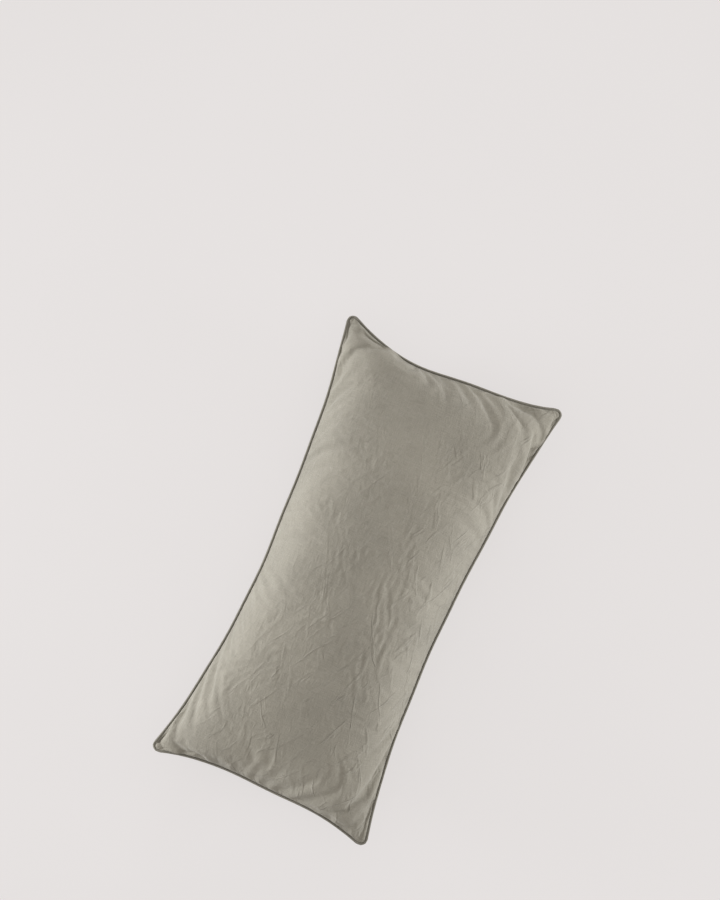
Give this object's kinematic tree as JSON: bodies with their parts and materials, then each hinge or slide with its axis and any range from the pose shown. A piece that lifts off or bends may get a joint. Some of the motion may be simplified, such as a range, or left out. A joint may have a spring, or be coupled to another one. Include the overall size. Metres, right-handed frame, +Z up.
{
  "type": "bed pillow",
  "caption": "Rectangular bed pillow lying flat: a crowned, piped cotton cover with a zip across its back, over a fibre-filled insert.",
  "frame": {"origin": "on the surface the pillow lies on, under the middle of its outline", "axes": "+X along the pillow's long side, away from the end with the zip; +Y across it, towards the end where the zip shuts; +Z up, out of the front"},
  "size_m": [0.7738, 0.3814, 0.1562],
  "materials": {
    "case_cotton": "matte",
    "piping_cotton": "matte",
    "cord_cotton": "matte",
    "zip_tape": "matte",
    "zip_nylon": "satin",
    "zip_metal": "satin",
    "label_satin": "satin",
    "ticking": "matte",
    "fibre_fill": "matte"
  },
  "bodies": {
    "pillow": {"case_front_panel": "case_cotton", "case_back_panel": "case_cotton", "case_back_end_strip": "case_cotton", "piping_cover": "piping_cotton", "piping_cord": "cord_cotton", "zip_tape_body_side": "zip_tape", "zip_tape_end_side": "zip_tape", "zip_coil_body_side": "zip_nylon", "zip_coil_end_side": "zip_nylon", "zip_top_stop_body_side": "zip_metal", "zip_top_stop_end_side": "zip_metal", "zip_bottom_stop": "zip_metal", "care_label": "label_satin", "insert_top_panel": "ticking", "insert_bottom_panel": "ticking", "insert_fill": "fibre_fill"},
    "slider": {"zip_slider": "zip_metal"},
    "pull_tab": {"zip_pull_tab": "zip_metal"}
  },
  "joints": [
    {"name": "zip_slide", "type": "slide", "parent": "pillow", "child": "slider", "axis": [0, -1, 0], "range_m": [0, 0.2325], "deforming": ["zip_tape_body_side", "zip_tape_end_side", "zip_coil_body_side", "zip_coil_end_side"]},
    {"name": "pull_tab_swing", "type": "hinge", "parent": "slider", "child": "pull_tab", "pos_m": [-0.3336, 0.1169, 0.02229], "axis": [0.894, 0, -0.448], "range_deg": [-85, 85]}
  ]
}
